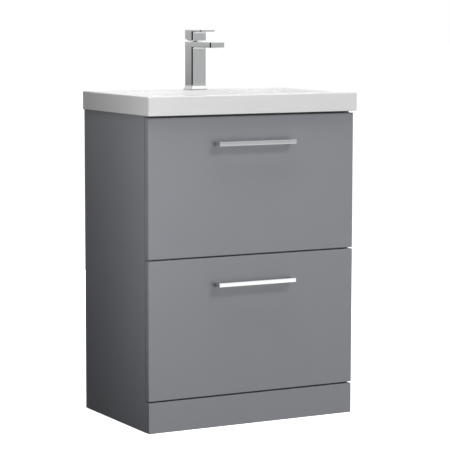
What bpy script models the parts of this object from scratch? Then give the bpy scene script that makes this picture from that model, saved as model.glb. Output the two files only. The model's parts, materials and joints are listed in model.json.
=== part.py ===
"""Floor-standing bathroom vanity cabinet with two drawers, a basin, a square mixer tap and a waste.

The cabinet stands on z = 0 and faces -Y. The origin is the middle of the footprint.
Depths are counted from the wall: y_at(0) is the wall plane, and larger depths come forwards.
"""
import math

import bmesh
import bpy
from mathutils import Matrix, Vector

# Driving dimensions, in metres
CABINET_WIDTH = 0.600
CABINET_HEIGHT = 0.804
BOARD = 0.018
CARCASS_DEPTH = 0.3615
FRONT_BACK_DEPTH = 0.365
FRONT_FACE_DEPTH = 0.383
OVERALL_DEPTH = 0.4105
JOINT_GAP = 0.0003
EDGE_ROUND = 0.0006

PLINTH_WIDTH = 0.5986
PLINTH_HEIGHT = 0.079
BASE_BOTTOM = 0.080
PIPE_NOTCH_HALF = 0.110
PIPE_NOTCH_DEPTH = 0.095
LOWER_FRONT = (0.083, 0.4395)
UPPER_FRONT = (0.4434, 0.7987)

BACK_RAIL_UPPER_HEIGHT = 0.100
BACK_RAIL_LOWER_HEIGHT = 0.080
FRONT_RAIL_HEIGHT = 0.060
FRONT_RAIL_THICKNESS = 0.012
MIDDLE_RAIL_REACH = 0.060
BATTEN_HALF_LENGTH = 0.200
BATTEN_SIZE = 0.024

BRACKET_SHEET = 0.002
BRACKET_REACH = 0.036
BRACKET_DEPTH = 0.045
BRACKET_SPAN = (0.640, 0.690)
BRACKET_HOLE_IN = 0.020
BRACKET_HOLE_RADIUS = 0.0035

BASIN_WIDTH = 0.610
BASIN_DEPTH = 0.395
BASIN_BOTTOM = CABINET_HEIGHT
BASIN_TOP = 0.853
BASIN_EDGE = 0.0022
APRON_WALL = 0.022
APRON_REAR_WALL = 0.014
APRON_FRONT_INSIDE = 0.340
DECK_THICKNESS = 0.012
BOWL_SHELL = 0.008
BOWL_FLOOR = 0.743
BOWL_FLOOR_THICKNESS = 0.009
BOSS_RADIUS = 0.038
WASTE_DEPTH = 0.230
WASTE_SEAT = 0.716
WASTE_HOLE_RADIUS = 0.023
WASTE_TAIL = 0.655
WASTE_TUBE = (0.0180, 0.0213)
WASTE_TRAVEL = 0.007
OVERFLOW_DEPTH = 0.118
OVERFLOW_HEIGHT = 0.815
OVERFLOW_TILT = math.radians(13)
OVERFLOW_RADIUS = 0.0125
DUCT_HALF = 0.014
DUCT_WALL = 0.006
DUCT_BACK_DEPTH = 0.088

TAP_DEPTH = 0.062
TAP_HALF = 0.0215
TAP_BODY_TOP = 0.9812
TAP_HOLE_RADIUS = 0.0175
FOOT_HALF = 0.0248
CARTRIDGE_SEAT = 0.9340
CARTRIDGE_BORE = 0.0180
SPOUT_REACH = 0.1875
SPOUT_BOTTOM = 0.9672
AERATOR_DEPTH = 0.170
AERATOR_SEAT = 0.9745
AERATOR_BORE = 0.0112
STUD_DEPTH = TAP_DEPTH + 0.011
STUD_RADIUS = 0.0039
LEVER_PIVOT = 0.984
LEVER_TOP = 1.013
LEVER_REACH = 0.133
LEVER_PLATE = 0.0048
LEVER_SOCKET_TOP = 1.0005
SPINDLE_HALF = 0.0040
GRUB_SCREW_HEIGHT = 0.996

HANDLE_LENGTH = 0.225
HANDLE_HEIGHT = 0.0103
HANDLE_BAR = 0.010
HANDLE_BELOW_TOP = 0.0685
SCREW_REACH = 0.012

DRAWER_BACK_DEPTH = 0.063
DRAWER_SIDE = 0.012
DRAWER_BOTTOM = 0.008
BOTTOM_RISE = 0.008
UPPER_BOX = (0.465, 0.635)
LOWER_BOX = (0.110, 0.310)
TRAP_NOTCH_HALF = 0.090
TRAP_NOTCH_DEPTH = 0.292
GUARD_WALL = 0.008

RUNNER_WIDTH = 0.0127
RUNNER_SHEET = 0.0015
RUNNER_REAR_DEPTH = 0.0635
UPPER_RUNNER_HEIGHT = 0.520
LOWER_RUNNER_HEIGHT = 0.170

INNER_HALF = CABINET_WIDTH / 2 - BOARD - JOINT_GAP
DRAWER_HALF = CABINET_WIDTH / 2 - BOARD - RUNNER_WIDTH - JOINT_GAP

COLOURS = {
    "grey_lacquer": ((0.19, 0.20, 0.21), 0.45, 0.0),
    "drawer_board": ((0.30, 0.31, 0.32), 0.6, 0.0),
    "ceramic": ((0.88, 0.88, 0.87), 0.08, 0.0),
    "chrome": ((0.75, 0.76, 0.77), 0.06, 1.0),
    "steel": ((0.55, 0.56, 0.57), 0.35, 1.0),
    "brass": ((0.72, 0.55, 0.28), 0.3, 1.0),
    "black_rubber": ((0.03, 0.03, 0.03), 0.7, 0.0),
    "plastic": ((0.82, 0.82, 0.80), 0.5, 0.0),
}


# Small modelling tools

def y_at(depth):
    """The Y coordinate of a point at this depth in front of the wall."""
    return OVERALL_DEPTH / 2 - depth


def material(name):
    """The Principled material of this name, made on first use."""
    found = bpy.data.materials.get(name)
    if found:
        return found
    colour, roughness, metallic = COLOURS[name]
    made = bpy.data.materials.new(name)
    made.use_nodes = True
    shader = made.node_tree.nodes["Principled BSDF"]
    shader.inputs["Base Color"].default_value = (*colour, 1.0)
    shader.inputs["Roughness"].default_value = roughness
    shader.inputs["Metallic"].default_value = metallic
    return made


def add_object(name, bm, finish):
    """Turn a bmesh into a scene object with outward faces."""
    bmesh.ops.recalc_face_normals(bm, faces=bm.faces)
    mesh = bpy.data.meshes.new(name)
    bm.to_mesh(mesh)
    bm.free()
    mesh.materials.append(material(finish))
    obj = bpy.data.objects.new(name, mesh)
    bpy.context.collection.objects.link(obj)
    return obj


def bake_modifiers(obj):
    """Replace an object's mesh with the one that its modifiers make."""
    graph = bpy.context.evaluated_depsgraph_get()
    baked = bpy.data.meshes.new_from_object(obj.evaluated_get(graph))
    obj.modifiers.clear()
    obj.data = baked


def combine(obj, others, operation):
    """Cut other objects from this one, or join them to it, and remove them."""
    for other in others:
        step = obj.modifiers.new(operation.lower(), "BOOLEAN")
        step.operation = operation
        step.solver = "EXACT"
        step.object = other
        bake_modifiers(obj)
        bpy.data.objects.remove(other)
    return obj


def cut(obj, *cutters):
    return combine(obj, cutters, "DIFFERENCE")


def join(obj, *others):
    return combine(obj, others, "UNION")


def soften(obj, width, segments=1):
    """Round the sharp edges of an object."""
    step = obj.modifiers.new("edges", "BEVEL")
    step.width = width
    step.segments = segments
    step.limit_method = "ANGLE"
    step.angle_limit = math.radians(50)
    bake_modifiers(obj)
    return obj


def smooth(obj):
    """Shade the round faces of an object smooth, and keep its edges sharp."""
    obj.data.shade_smooth()
    obj.data.set_sharp_from_angle(angle=math.radians(35))
    return obj


def block(name, x, depth, z, finish, edge=0.0):
    """A box between two X values, two depths and two heights."""
    bm = bmesh.new()
    bmesh.ops.create_cube(bm, size=1.0)
    size = Vector((x[1] - x[0], depth[1] - depth[0], z[1] - z[0]))
    centre = Vector((sum(x) / 2, y_at(sum(depth) / 2), sum(z) / 2))
    bmesh.ops.scale(bm, vec=size, verts=bm.verts)
    bmesh.ops.translate(bm, vec=centre, verts=bm.verts)
    obj = add_object(name, bm, finish)
    return soften(obj, edge) if edge else obj


def prism(name, outline, low, high, place, finish):
    """A closed outline of (a, b) points swept from low to high, where place(a, b, c) gives a point."""
    bm = bmesh.new()
    start = bm.faces.new([bm.verts.new(place(a, b, low)) for a, b in outline])
    swept = bmesh.ops.extrude_face_region(bm, geom=[start])
    moved = [item for item in swept["geom"] if isinstance(item, bmesh.types.BMVert)]
    shift = Vector(place(0, 0, high)) - Vector(place(0, 0, low))
    bmesh.ops.translate(bm, vec=shift, verts=moved)
    return add_object(name, bm, finish)


def side_profile(a, b, c):
    """Place a (depth, height) outline point at X = c."""
    return (c, y_at(a), b)


def plan_profile(a, b, c):
    """Place an (x, depth) outline point at height c."""
    return (a, y_at(b), c)


def front_profile(a, b, c):
    """Place an (x, height) outline point at depth c."""
    return (a, y_at(c), b)


def arc(centre, radius, start, end, steps=4):
    """Points on an arc, with its angles in degrees."""
    points = []
    for step in range(steps + 1):
        angle = math.radians(start + (end - start) * step / steps)
        points.append((centre[0] + radius * math.cos(angle), centre[1] + radius * math.sin(angle)))
    return points


def loft(name, rings, finish):
    """A solid skin over rings that all have the same number of points, with flat ends."""
    bm = bmesh.new()
    rows = [[bm.verts.new(point) for point in ring] for ring in rings]
    count = len(rows[0])
    for lower, upper in zip(rows, rows[1:]):
        for i in range(count):
            j = (i + 1) % count
            bm.faces.new((lower[i], lower[j], upper[j], upper[i]))
    bm.faces.new(rows[0])
    bm.faces.new(rows[-1])
    return add_object(name, bm, finish)


def turned(name, profile, centre, finish, segments=28):
    """A closed profile of (radius, height) points turned about the vertical line through centre."""
    bm = bmesh.new()
    ring = [bm.verts.new((centre[0] + radius, centre[1], height)) for radius, height in profile]
    edges = [bm.edges.new((ring[i], ring[(i + 1) % len(ring)])) for i in range(len(ring))]
    pivot = (centre[0], centre[1], 0.0)
    bmesh.ops.spin(bm, geom=ring + edges, cent=pivot, axis=(0, 0, 1),
                   angle=2 * math.pi, steps=segments, use_merge=True)
    bmesh.ops.remove_doubles(bm, verts=bm.verts, dist=1e-6)
    bmesh.ops.dissolve_degenerate(bm, edges=bm.edges, dist=1e-7)
    return smooth(add_object(name, bm, finish))


def rod(name, start, end, radius, finish, segments=16):
    """A round bar between two points."""
    start, end = Vector(start), Vector(end)
    along = end - start
    bm = bmesh.new()
    bmesh.ops.create_cone(bm, cap_ends=True, segments=segments, radius1=radius,
                          radius2=radius, depth=along.length)
    turn = along.to_track_quat("Z", "Y").to_matrix().to_4x4()
    bmesh.ops.transform(bm, matrix=Matrix.Translation((start + end) / 2) @ turn, verts=bm.verts)
    return smooth(add_object(name, bm, finish))


def rounded_ring(half_x, back, front, radius, height, corner_steps=8):
    """A ring of points around a rounded rectangle at one height."""
    centres = ((half_x - radius, back + radius, -90), (half_x - radius, front - radius, 0),
               (-half_x + radius, front - radius, 90), (-half_x + radius, back + radius, 180))
    points = []
    for x, depth, start in centres:
        points += arc((x, depth), radius, start, start + 90, corner_steps)
    return [plan_profile(x, depth, height) for x, depth in points]


def bezier(controls, t):
    """A cubic curve through its first and last control values."""
    a, b, c, d = controls
    s = 1 - t
    return a * s ** 3 + 3 * b * s * s * t + 3 * c * s * t * t + d * t ** 3


def upright(name, centre, low, high, radius, finish, segments=16):
    """A round bar along the vertical line through centre, between two heights."""
    return rod(name, (*centre, low), (*centre, high), radius, finish, segments)


def set_origin(obj, point):
    """Move an object's origin to a point on its joint, without moving its shape."""
    shift = Vector(point) - obj.location
    obj.data.transform(Matrix.Translation(-shift))
    obj.location = point
    return obj


# Carcass

def side_panels():
    for side, sign in (("left", -1), ("right", 1)):
        x = sorted((sign * CABINET_WIDTH / 2, sign * (CABINET_WIDTH / 2 - BOARD)))
        top = CABINET_HEIGHT - JOINT_GAP
        block("side_panel_" + side, x, (0, CARCASS_DEPTH), (0, top), "grey_lacquer", EDGE_ROUND)


def base_panel():
    """The floor of the cabinet, notched at the back for pipes."""
    half, notch, back = INNER_HALF, PIPE_NOTCH_HALF, BOARD + JOINT_GAP
    outline = [(-half, back), (-notch, back), (-notch, PIPE_NOTCH_DEPTH),
               (notch, PIPE_NOTCH_DEPTH), (notch, back), (half, back),
               (half, CARCASS_DEPTH), (-half, CARCASS_DEPTH)]
    prism("base_panel", outline, BASE_BOTTOM, BASE_BOTTOM + BOARD, plan_profile, "grey_lacquer")


def rails():
    """Two rails at the back, one under the basin, and one laid flat between the drawers."""
    top = CABINET_HEIGHT - JOINT_GAP
    above_base = BASE_BOTTOM + BOARD + JOINT_GAP
    between_fronts = (LOWER_FRONT[1] + UPPER_FRONT[0]) / 2
    at_back = (0, BOARD)
    places = {
        "back_rail_upper": (at_back, (top - BACK_RAIL_UPPER_HEIGHT, top)),
        "back_rail_lower": (at_back, (above_base, above_base + BACK_RAIL_LOWER_HEIGHT)),
        "front_rail": ((CARCASS_DEPTH - FRONT_RAIL_THICKNESS, CARCASS_DEPTH),
                       (top - FRONT_RAIL_HEIGHT, top)),
        "middle_rail": ((CARCASS_DEPTH - MIDDLE_RAIL_REACH, CARCASS_DEPTH),
                        (between_fronts - BOARD / 2, between_fronts + BOARD / 2)),
    }
    for name, (depth, z) in places.items():
        block(name, (-INNER_HALF, INNER_HALF), depth, z, "grey_lacquer", EDGE_ROUND)


def plinth():
    """The plinth board, and the batten under the base that it is screwed to."""
    half, top = PLINTH_WIDTH / 2, BASE_BOTTOM - JOINT_GAP
    block("plinth_board", (-half, half), (CARCASS_DEPTH + JOINT_GAP, FRONT_FACE_DEPTH),
          (0, PLINTH_HEIGHT), "grey_lacquer", EDGE_ROUND)
    block("plinth_batten", (-BATTEN_HALF_LENGTH, BATTEN_HALF_LENGTH),
          (CARCASS_DEPTH - BATTEN_SIZE, CARCASS_DEPTH), (top - BATTEN_SIZE, top),
          "drawer_board", EDGE_ROUND)


def wall_brackets():
    """Steel angles that hold the side panels to the wall, each with a round fixing hole."""
    middle = sum(BRACKET_SPAN) / 2
    for side, sign in (("left", -1), ("right", 1)):
        outer = sign * INNER_HALF
        inner, end = outer - sign * BRACKET_SHEET, outer - sign * BRACKET_REACH
        outline = [(outer, 0), (outer, BRACKET_DEPTH), (inner, BRACKET_DEPTH),
                   (inner, BRACKET_SHEET), (end, BRACKET_SHEET), (end, 0)]
        bracket = prism("wall_bracket_" + side, outline, *BRACKET_SPAN, plan_profile, "steel")
        hole_x = outer - sign * BRACKET_HOLE_IN
        hole = rod("hole", (hole_x, y_at(-BRACKET_DEPTH), middle),
                   (hole_x, y_at(BRACKET_DEPTH), middle), BRACKET_HOLE_RADIUS, "steel")
        cut(bracket, hole)


# Drawers

def handle_screw_places():
    middle_of_post = HANDLE_LENGTH / 2 - HANDLE_BAR / 2
    return (-middle_of_post, middle_of_post)


def drawer_front(drawer, span, bar_height):
    """A slab front with two screw holes for its handle."""
    half, hole_radius, past = CABINET_WIDTH / 2, 0.0024, 0.010
    front = block(drawer + "_drawer_front", (-half, half), (FRONT_BACK_DEPTH, FRONT_FACE_DEPTH),
                  span, "grey_lacquer", 0.0008)
    for x in handle_screw_places():
        hole = rod("hole", (x, y_at(FRONT_BACK_DEPTH - past), bar_height),
                   (x, y_at(FRONT_FACE_DEPTH + past), bar_height), hole_radius, "steel", 12)
        cut(front, hole)
    return front


def handle(drawer, bar_height):
    """A square D handle: a bar on two posts, bored for a screw up each post."""
    half, post = HANDLE_LENGTH / 2, HANDLE_BAR
    foot, face = FRONT_FACE_DEPTH + JOINT_GAP, OVERALL_DEPTH
    inner, bore_radius, past = face - HANDLE_BAR, 0.0023, 0.002
    outline = [(-half, foot), (-half + post, foot), (-half + post, inner), (half - post, inner),
               (half - post, foot), (half, foot), (half, face), (-half, face)]
    low, high = bar_height - HANDLE_HEIGHT / 2, bar_height + HANDLE_HEIGHT / 2
    bar = prism(drawer + "_handle", outline, low, high, plan_profile, "chrome")
    soften(bar, 0.0005)
    for x in handle_screw_places():
        bore = rod("bore", (x, y_at(foot - past), bar_height),
                   (x, y_at(FRONT_FACE_DEPTH + SCREW_REACH + past), bar_height), bore_radius,
                   "steel", 12)
        cut(bar, bore)
    return bar


def handle_screws(drawer, bar_height):
    """Two screws with round heads behind the front."""
    head_back, head_height, head_radius, shank_radius = (
        FRONT_BACK_DEPTH - JOINT_GAP, 0.0022, 0.0042, 0.0019)
    tip = FRONT_FACE_DEPTH + SCREW_REACH
    screws = []
    for side, x in zip(("left", "right"), handle_screw_places()):
        screw = rod(drawer + "_handle_screw_" + side,
                    (x, y_at(head_back - head_height), bar_height),
                    (x, y_at(head_back), bar_height), head_radius, "steel")
        shank = rod("shank", (x, y_at(head_back - head_height / 2), bar_height),
                    (x, y_at(tip), bar_height), shank_radius, "steel", 12)
        screws.append(join(screw, shank))
    return screws


def drawer_sides(drawer, box):
    """The two side boards of a drawer box."""
    boards = []
    for side, sign in (("left", -1), ("right", 1)):
        x = sorted((sign * DRAWER_HALF, sign * (DRAWER_HALF - DRAWER_SIDE)))
        board = block(drawer + "_drawer_side_" + side, x,
                      (DRAWER_BACK_DEPTH, FRONT_BACK_DEPTH - JOINT_GAP), box, "drawer_board",
                      EDGE_ROUND)
        boards.append(board)
    return boards


def lower_drawer_box():
    """A plain box: bottom and back between the two sides."""
    half = DRAWER_HALF - DRAWER_SIDE - JOINT_GAP
    floor = LOWER_BOX[0] + BOTTOM_RISE
    bottom = block("lower_drawer_bottom", (-half, half),
                   (DRAWER_BACK_DEPTH, FRONT_BACK_DEPTH - JOINT_GAP),
                   (floor, floor + DRAWER_BOTTOM), "drawer_board", EDGE_ROUND)
    back = block("lower_drawer_back", (-half, half),
                 (DRAWER_BACK_DEPTH, DRAWER_BACK_DEPTH + DRAWER_SIDE),
                 (floor + DRAWER_BOTTOM + JOINT_GAP, LOWER_BOX[1]), "drawer_board", EDGE_ROUND)
    return drawer_sides("lower", LOWER_BOX) + [bottom, back]


def upper_drawer_box():
    """A box with a notch in its back and bottom, lined by a guard, where the trap hangs."""
    half, notch = DRAWER_HALF - DRAWER_SIDE - JOINT_GAP, TRAP_NOTCH_HALF
    rear, front = DRAWER_BACK_DEPTH, FRONT_BACK_DEPTH - JOINT_GAP
    floor = UPPER_BOX[0] + BOTTOM_RISE
    outline = [(-half, rear), (-notch, rear), (-notch, TRAP_NOTCH_DEPTH),
               (notch, TRAP_NOTCH_DEPTH), (notch, rear), (half, rear), (half, front),
               (-half, front)]
    bottom = prism("upper_drawer_bottom", outline, floor, floor + DRAWER_BOTTOM, plan_profile,
                   "drawer_board")
    outer, inner = notch - JOINT_GAP, notch - GUARD_WALL
    reach = TRAP_NOTCH_DEPTH - JOINT_GAP
    guard_outline = [(-outer, rear), (-inner, rear), (-inner, reach - GUARD_WALL),
                     (inner, reach - GUARD_WALL), (inner, rear), (outer, rear), (outer, reach),
                     (-outer, reach)]
    guard = prism("upper_drawer_trap_guard", guard_outline, floor, UPPER_BOX[1], plan_profile,
                  "drawer_board")
    pieces = drawer_sides("upper", UPPER_BOX) + [bottom, guard]
    for side, sign in (("left", -1), ("right", 1)):
        x = sorted((sign * (notch + JOINT_GAP), sign * half))
        pieces.append(block("upper_drawer_back_" + side, x, (rear, rear + DRAWER_SIDE),
                            (floor + DRAWER_BOTTOM + JOINT_GAP, UPPER_BOX[1]), "drawer_board",
                            EDGE_ROUND))
    return pieces


def channel(name, web_x, lip_x, half_height, middle):
    """A pressed steel channel: an upright web with a lip along its top and its bottom."""
    sheet = math.copysign(RUNNER_SHEET, lip_x - web_x)
    inner_half = half_height - RUNNER_SHEET
    outline = [(web_x, middle - half_height), (lip_x, middle - half_height),
               (lip_x, middle - inner_half), (web_x + sheet, middle - inner_half),
               (web_x + sheet, middle + inner_half), (lip_x, middle + inner_half),
               (lip_x, middle + half_height), (web_x, middle + half_height)]
    return prism(name, outline, RUNNER_REAR_DEPTH, CARCASS_DEPTH - RUNNER_SHEET, front_profile,
                 "steel")


def runners(drawer, middle):
    """Three nested channels a side: on the cabinet, between, and on the drawer."""
    on_drawer, between = [], []
    wall = CABINET_WIDTH / 2 - BOARD - JOINT_GAP
    for side, sign in (("left", -1), ("right", 1)):
        name = drawer + "_runner_"
        channel(name + "cabinet_" + side, sign * wall, sign * (wall - 0.0100), 0.0225, middle)
        between.append(channel(name + "middle_" + side, sign * (wall - 0.0030),
                               sign * (wall - 0.0095), 0.0195, middle))
        on_drawer.append(channel(name + "drawer_" + side, sign * (DRAWER_HALF + JOINT_GAP),
                                 sign * (DRAWER_HALF + 0.0065), 0.0160, middle))
    return on_drawer + between


def drawer(name, span, box_pieces, runner_height):
    """A whole drawer: every piece has its origin on the drawer's line of travel."""
    bar_height = span[1] - HANDLE_BELOW_TOP
    pieces = [drawer_front(name, span, bar_height), handle(name, bar_height)]
    pieces += handle_screws(name, bar_height) + box_pieces + runners(name, runner_height)
    for piece in pieces:
        set_origin(piece, (0, y_at(FRONT_BACK_DEPTH), runner_height))


# Basin and waste

def bowl_rings(outward, lowered, steps=9):
    """Rings down the bowl, from its rim to its floor."""
    heights = (BASIN_TOP, 0.825, 0.746, BOWL_FLOOR)
    half_widths = (0.248, 0.199, 0.120, 0.055)
    backs = (0.112, 0.116, 0.120, 0.190)
    fronts = (0.362, 0.340, 0.322, 0.270)
    radii = (0.028, 0.040, 0.055, 0.040)
    rings = []
    for step in range(steps + 1):
        t = step / steps
        rings.append(rounded_ring(bezier(half_widths, t) + outward, bezier(backs, t) - outward,
                                  bezier(fronts, t) + outward, bezier(radii, t) + outward / 2,
                                  bezier(heights, t) - lowered, 5))
    return rings


def overflow_axis(along):
    """A point on the overflow hole's axis, this far out from the bowl's back wall."""
    slope = Vector((0, -math.cos(OVERFLOW_TILT), math.sin(OVERFLOW_TILT)))
    wall = Vector((0, y_at(OVERFLOW_DEPTH), OVERFLOW_HEIGHT))
    return wall + slope * along


def tap_axis():
    return (0, y_at(TAP_DEPTH))


def waste_axis():
    return (0, y_at(WASTE_DEPTH))


def duct_levels():
    """The lower duct's floor and ceiling."""
    floor = WASTE_SEAT + DUCT_WALL
    return floor, floor + 0.008


def basin():
    """A moulded basin: a deep rim around a flat deck, and a sloping bowl over a waste boss."""
    half, past = BASIN_WIDTH / 2, 0.010
    body = block("basin", (-half, half), (0, BASIN_DEPTH), (BASIN_BOTTOM, BASIN_TOP), "ceramic")
    soften(body, BASIN_EDGE, 2)
    under = block("under", (-half + APRON_WALL, half - APRON_WALL),
                  (APRON_REAR_WALL, APRON_FRONT_INSIDE),
                  (BASIN_BOTTOM - past, BASIN_TOP - DECK_THICKNESS), "ceramic")
    cut(body, under)
    shell = loft("shell", bowl_rings(BOWL_SHELL, BOWL_FLOOR_THICKNESS), "ceramic")
    boss = upright("boss", waste_axis(), WASTE_SEAT, BOWL_FLOOR - 0.005, BOSS_RADIUS, "ceramic",
                   28)
    join(body, shell, boss)
    lip = rounded_ring(0.2485, 0.1115, 0.3625, 0.0285, BASIN_TOP + 0.005, 5)
    cut(body, loft("inside", [lip] + bowl_rings(0, 0), "ceramic"))
    waste_hole = upright("waste_hole", waste_axis(), WASTE_SEAT - past, BOWL_FLOOR + past,
                         WASTE_HOLE_RADIUS, "ceramic", 28)
    boss_way = block("boss_way", (-DUCT_HALF, DUCT_HALF),
                     (WASTE_DEPTH - BOSS_RADIUS - past, WASTE_DEPTH - WASTE_HOLE_RADIUS + 0.005),
                     duct_levels(), "ceramic")
    overflow = rod("overflow", overflow_axis(-0.016), overflow_axis(0.020), OVERFLOW_RADIUS,
                   "ceramic", 20)
    tap_hole = upright("tap_hole", tap_axis(), BASIN_TOP - 0.03, BASIN_TOP + past,
                       TAP_HOLE_RADIUS, "ceramic", 24)
    cut(body, waste_hole, boss_way, overflow, tap_hole)
    smooth(body)


def overflow_duct():
    """A trough bonded behind and under the bowl, from the overflow hole to the waste boss."""
    back, floor, ceiling = DUCT_BACK_DEPTH, *duct_levels()
    top = BASIN_TOP - DECK_THICKNESS - JOINT_GAP
    outer_half, past_boss = DUCT_HALF + DUCT_WALL, WASTE_DEPTH - 0.020
    outer = [(back, WASTE_SEAT), (past_boss, WASTE_SEAT), (past_boss, ceiling + DUCT_WALL),
             (back + 0.047, ceiling + DUCT_WALL), (back + 0.047, top), (back, top)]
    inner = [(back + DUCT_WALL, floor), (past_boss + 0.010, floor), (past_boss + 0.010, ceiling),
             (back + 0.030, ceiling), (back + 0.030, OVERFLOW_HEIGHT + 0.012),
             (back + DUCT_WALL, OVERFLOW_HEIGHT + 0.012)]
    duct = prism("overflow_duct", outer, -outer_half, outer_half, side_profile, "ceramic")
    shell = loft("shell", bowl_rings(BOWL_SHELL + JOINT_GAP, BOWL_FLOOR_THICKNESS + JOINT_GAP),
                 "ceramic")
    boss = upright("boss", waste_axis(), WASTE_SEAT - 0.010, BOWL_FLOOR, BOSS_RADIUS + JOINT_GAP,
                   "ceramic", 28)
    hollow = prism("hollow", inner, -DUCT_HALF, DUCT_HALF, side_profile, "ceramic")
    smooth(cut(duct, shell, boss, hollow))


def overflow_ring():
    """A flanged ring that lines the overflow hole, square to the bowl's back wall."""
    ring_radius, collar_radius, bore_radius = 0.0150, 0.0118, 0.0100
    ring = rod("overflow_ring", overflow_axis(0.0010), overflow_axis(0.0034), ring_radius,
               "chrome", 24)
    collar = rod("collar", overflow_axis(-0.006), overflow_axis(0.002), collar_radius, "chrome",
                 24)
    join(ring, collar)
    bore = rod("bore", overflow_axis(-0.02), overflow_axis(0.02), bore_radius, "chrome", 24)
    smooth(cut(ring, bore))


def waste_body():
    """A slotted waste: a flange in the bowl, a tube, and a bridge that guides the plug's stem."""
    inside, outside = WASTE_TUBE
    flange, flange_radius = BOWL_FLOOR + JOINT_GAP, 0.0320
    profile = [(inside, WASTE_TAIL), (outside, WASTE_TAIL), (outside, flange),
               (flange_radius, flange), (flange_radius, flange + 0.0012),
               (flange_radius - 0.0020, flange + 0.0026), (outside + 0.0007, flange + 0.0020),
               (inside, flange - 0.0020)]
    body = turned("waste_body", profile, waste_axis(), "chrome")
    bridge_low, bridge_high, bridge_half = 0.690, 0.698, 0.0025
    bridge = block("bridge", (-inside - 0.0010, inside + 0.0010),
                   (WASTE_DEPTH - bridge_half, WASTE_DEPTH + bridge_half),
                   (bridge_low, bridge_high), "chrome")
    eye = upright("eye", waste_axis(), bridge_low - 0.0005, bridge_high + 0.0005, 0.0085,
                  "chrome")
    join(body, bridge, eye)
    stem_hole = upright("stem_hole", waste_axis(), bridge_low - 0.010, bridge_high + 0.010,
                        0.0054, "chrome")
    cut(body, stem_hole)
    middle = Vector((*waste_axis(), sum(duct_levels()) / 2))
    for turn in (45, 135):
        across = Matrix.Rotation(math.radians(turn), 3, "Z") @ Vector((0.030, 0, 0))
        cut(body, rod("slot", middle - across, middle + across, 0.0045, "chrome", 12))
    smooth(body)


def waste_plug():
    """A domed click plug on a stem, at rest in its raised place."""
    shut = BOWL_FLOOR + 0.0032
    under = shut + WASTE_TRAVEL
    stem_radius, stem_end, cap_radius = 0.0048, 0.684, 0.0296
    profile = [(0, stem_end), (stem_radius, stem_end), (stem_radius, under - 0.004),
               (0.0120, under), (cap_radius - 0.0006, under), (cap_radius, under + 0.0010),
               (cap_radius - 0.0011, under + 0.0026), (0.0200, under + 0.0042),
               (0.0100, under + 0.0049), (0, under + 0.0051)]
    plug = turned("waste_plug", profile, waste_axis(), "chrome")
    set_origin(plug, (*waste_axis(), shut))


def waste_fixings():
    """The seal and the back nut that clamp the waste under the bowl."""
    seal_height, seal_radius, nut_height, past = 0.003, 0.0320, 0.009, 0.010
    clearance = WASTE_TUBE[1] + 0.0004
    seal_top = WASTE_SEAT - JOINT_GAP
    seal_low = seal_top - seal_height
    seal = [(clearance, seal_low), (seal_radius, seal_low), (seal_radius, seal_top),
            (clearance, seal_top)]
    turned("waste_seal", seal, waste_axis(), "black_rubber")
    nut_top = seal_low - JOINT_GAP
    nut = upright("waste_nut", waste_axis(), nut_top - nut_height, nut_top, 0.0310, "brass", 8)
    bore = upright("bore", waste_axis(), nut_top - nut_height - past, nut_top + past, clearance,
                   "brass", 28)
    cut(nut, bore)


# Tap

def tap_outline():
    """The side view of the column and spout, with a round under the spout and on its nose."""
    back, front = TAP_DEPTH - TAP_HALF, TAP_DEPTH + TAP_HALF
    nose, throat, in_foot = 0.003, 0.005, BASIN_TOP + 0.004
    outline = [(back, in_foot), (back, TAP_BODY_TOP), (SPOUT_REACH, TAP_BODY_TOP)]
    outline += arc((SPOUT_REACH - nose, SPOUT_BOTTOM + nose), nose, 0, -90, 3)
    outline += arc((front + throat, SPOUT_BOTTOM - throat), throat, 90, 180, 3)
    outline.append((front, in_foot))
    return outline


def tap_foot():
    """A square foot that sweeps up into the column in a hollow curve."""
    edge, sweep, corner, steps = 0.0018, 0.0105, 0.001, 4
    base = BASIN_TOP + JOINT_GAP
    rings = [(FOOT_HALF, base), (FOOT_HALF, base + edge)]
    for step in range(1, steps + 1):
        angle = math.radians(90 * step / steps)
        rings.append((FOOT_HALF - (FOOT_HALF - TAP_HALF) * math.sin(angle),
                      base + edge + sweep * (1 - math.cos(angle))))
    rings.append((TAP_HALF - corner, base + edge + sweep + 0.002))
    points = [rounded_ring(half, TAP_DEPTH - half, TAP_DEPTH + half, corner, height, 2)
              for half, height in rings]
    return loft("foot", points, "chrome")


def tap_body():
    """Column, spout and foot in one casting, bored for the cartridge, the aerator and the inlets."""
    below, inlet_radius, inlet_apart, past = BASIN_TOP - 0.003, 0.0045, 0.009, 0.010
    body = prism("tap_body", tap_outline(), -TAP_HALF, TAP_HALF, side_profile, "chrome")
    soften(body, 0.0007)
    join(body, tap_foot())
    bore = upright("bore", tap_axis(), CARTRIDGE_SEAT, TAP_BODY_TOP + past, CARTRIDGE_BORE,
                   "chrome", 28)
    way = block("way", (-0.012, 0.012), (TAP_DEPTH, AERATOR_DEPTH + 0.008), (0.9710, 0.9780),
                "chrome")
    outlet = upright("outlet", (0, y_at(AERATOR_DEPTH)), SPOUT_BOTTOM - past, AERATOR_SEAT,
                     AERATOR_BORE, "chrome", 24)
    inlets = [upright("inlet", (x, y_at(TAP_DEPTH)), below, CARTRIDGE_SEAT + 0.002, inlet_radius,
                      "chrome", 12) for x in (-inlet_apart, inlet_apart)]
    stud_hole = upright("stud_hole", (0, y_at(STUD_DEPTH)), below, BASIN_TOP + 0.015,
                        STUD_RADIUS + 0.0004, "chrome", 12)
    cut(body, bore, way, outlet, stud_hole, *inlets)
    smooth(body)


def tap_cartridge():
    """The cartridge in the column, with a well for the part that turns."""
    radius, well, low, high, well_floor = CARTRIDGE_BORE - 0.0004, 0.0108, 0.9345, 0.9806, 0.9720
    profile = [(0, low), (radius, low), (radius, high), (well, high), (well, well_floor),
               (0, well_floor)]
    turned("tap_cartridge", profile, tap_axis(), "plastic", 24)


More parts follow.
